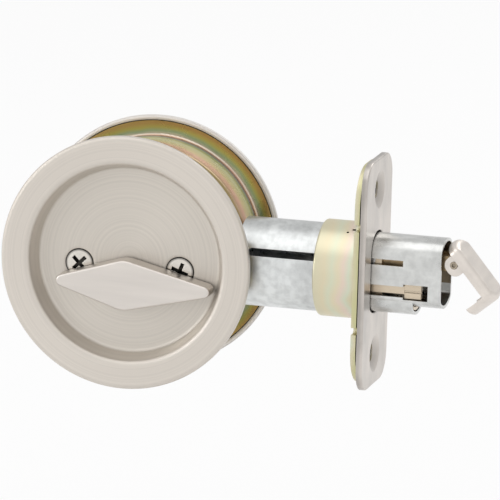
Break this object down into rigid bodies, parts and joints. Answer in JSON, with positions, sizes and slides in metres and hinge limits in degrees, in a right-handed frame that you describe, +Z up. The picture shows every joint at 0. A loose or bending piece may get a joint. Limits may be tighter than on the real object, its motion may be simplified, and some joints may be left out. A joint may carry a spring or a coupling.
{
  "type": "pocket door lock",
  "caption": "Pocket door lock: round finger cup on each door face, lozenge thumb turn, and an edge latch whose bolt carries a folding hook.",
  "frame": {"origin": "centre of the cross bore, halfway through the door panel and on the latch's axis", "axes": "+X towards the door's edge and the face plate, +Y from the turn's side of the door to the release side, +Z up"},
  "size_m": [0.1231, 0.0322, 0.0636],
  "materials": {
    "satin_nickel": "satin, lightly brushed in circles",
    "turn_nickel": "satin",
    "hook_nickel": "satin",
    "screw_nickel": "bright",
    "bright_zinc": "bright zinc plate",
    "yellow_zinc": "yellow zinc plate with rainbow tints",
    "pale_brass": "plain",
    "spring_steel": "oil tempered"
  },
  "bodies": {
    "case": {"front_cup": "satin_nickel", "back_cup": "satin_nickel", "front_housing": "yellow_zinc", "back_housing": "yellow_zinc", "turn_washer": "spring_steel", "release_washer": "spring_steel", "mounting_posts": "bright_zinc", "mounting_screws": "screw_nickel", "latch_tube": "bright_zinc", "tube_end_guide": "bright_zinc", "collar": "yellow_zinc", "backing_plate": "yellow_zinc", "faceplate": "satin_nickel"},
    "turn": {"thumb_turn": "turn_nickel", "turn_clip": "spring_steel", "release_button": "turn_nickel", "release_clip": "spring_steel", "spindle": "bright_zinc", "crank_arm": "bright_zinc", "crank_pin": "bright_zinc"},
    "bolt": {"bolt_shell": "bright_zinc", "guide_pin": "bright_zinc"},
    "slider": {"carrier": "pale_brass", "drive_bar": "pale_brass", "tail_plate": "bright_zinc", "tail_rivet": "bright_zinc", "hook_pin": "pale_brass"},
    "hook_body": {"hook": "hook_nickel", "hook_spring": "spring_steel"}
  },
  "joints": [
    {"name": "bolt_slide", "type": "slide", "parent": "case", "child": "bolt", "axis": [-1, 0, 0], "range_m": [0, 0.0204]},
    {"name": "turn_spin", "type": "hinge", "parent": "case", "child": "turn", "pos_m": [0, -0.013, -0.0055], "axis": [0, -1, 0], "range_deg": [0, 90]},
    {"name": "carrier_slide", "type": "slide", "parent": "bolt", "child": "slider", "axis": [-1, 0, 0], "range_m": [0, 0.0037]},
    {"name": "hook_fold", "type": "hinge", "parent": "slider", "child": "hook_body", "pos_m": [0.0807, 0, 0.0042], "axis": [0, 1, 0], "range_deg": [0, 40]}
  ],
  "couplings": [
    {"joint": "turn_spin", "follows": "bolt_slide", "rad_per_m": 77},
    {"joint": "carrier_slide", "follows": "bolt_slide", "ratio": 0.18137},
    {"joint": "hook_fold", "follows": "bolt_slide", "rad_per_m": 34.222}
  ]
}
